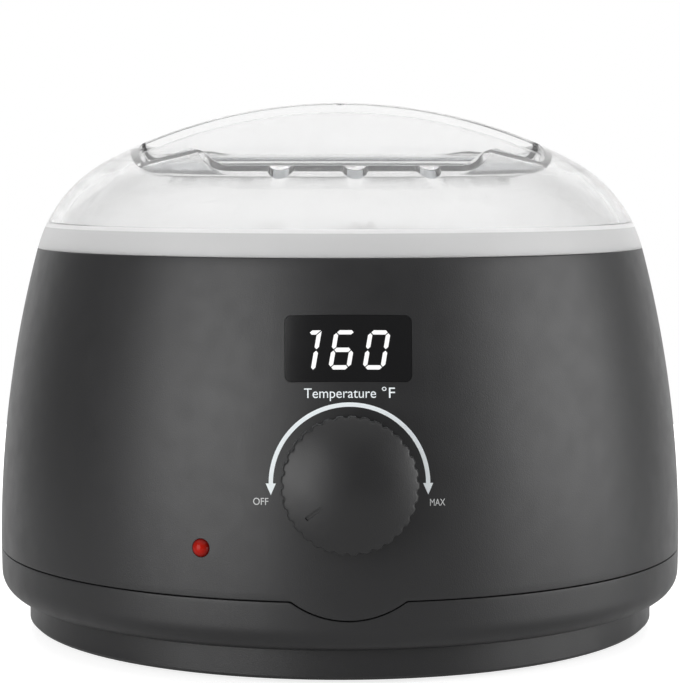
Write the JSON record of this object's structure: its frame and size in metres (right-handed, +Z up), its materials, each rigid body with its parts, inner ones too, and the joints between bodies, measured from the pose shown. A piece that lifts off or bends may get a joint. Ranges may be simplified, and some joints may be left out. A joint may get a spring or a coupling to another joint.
{
  "type": "wax warmer",
  "caption": "Round table-top wax warmer with a clear domed lift-off lid, a lift-out pot in a heated well, a rotary heat knob, a digit display and an indicator light.",
  "frame": {"origin": "centre of the bounding box's bottom, on the surface that the feet stand on", "axes": "+Z up, the front with the knob and display faces -Y, the cord gland is at +Y"},
  "size_m": [0.174, 0.1888, 0.1322],
  "materials": {
    "charcoal_plastic": "fine matte texture",
    "knob_plastic": "fine matte texture",
    "clear_plastic": "clear, glossy",
    "pot_aluminium": "satin",
    "heater_mica": "plain",
    "fibre": "plain",
    "steel": "zinc plated",
    "brass": "plain",
    "window": "smoked",
    "digit_light": "lit from behind",
    "black_plastic": "plain",
    "board": "solder mask",
    "red_lens": "translucent",
    "lamp": "clear epoxy",
    "relay_blue": "plain",
    "white_plastic": "plain",
    "black_rubber": "matte"
  },
  "bodies": {
    "body": {"upper_housing": "charcoal_plastic", "lower_housing": "charcoal_plastic", "bottom_cover": "charcoal_plastic", "rubber_feet": "black_rubber", "housing_screws": "steel", "heating_well": "pot_aluminium", "heater_disc": "heater_mica", "heater_band": "heater_mica", "insulation_disc": "fibre", "well_bracket": "steel", "well_nut": "steel", "bracket_screws": "steel", "temperature_sensor": "steel", "thermal_fuse": "white_plastic", "sensor_clips": "steel", "display_window": "window", "display_digits": "digit_light", "display_module": "black_plastic", "display_board": "board", "display_screws": "steel", "potentiometer": "steel", "potentiometer_washer": "steel", "potentiometer_nut": "brass", "indicator_lens": "red_lens", "indicator_led": "lamp", "power_board": "board", "relay": "relay_blue", "filter_capacitor": "black_plastic", "terminal_block": "white_plastic", "board_screws": "steel", "cord_gland": "black_rubber"},
    "knob": {"control_knob": "knob_plastic", "potentiometer_shaft": "steel"},
    "pot": {"wax_pot": "pot_aluminium"},
    "lid": {"lid": "clear_plastic"}
  },
  "joints": [
    {"name": "knob_turn", "type": "hinge", "parent": "body", "child": "knob", "pos_m": [0, -0.08055, 0.0464], "axis": [0, 0.996, -0.0891], "range_deg": [0, 253]},
    {"name": "pot_lift", "type": "slide", "parent": "body", "child": "pot", "axis": [0, 0, 1], "range_m": [0, 0.09]},
    {"name": "lid_lift", "type": "slide", "parent": "pot", "child": "lid", "axis": [0, 0, 1], "range_m": [0, 0.08]}
  ]
}
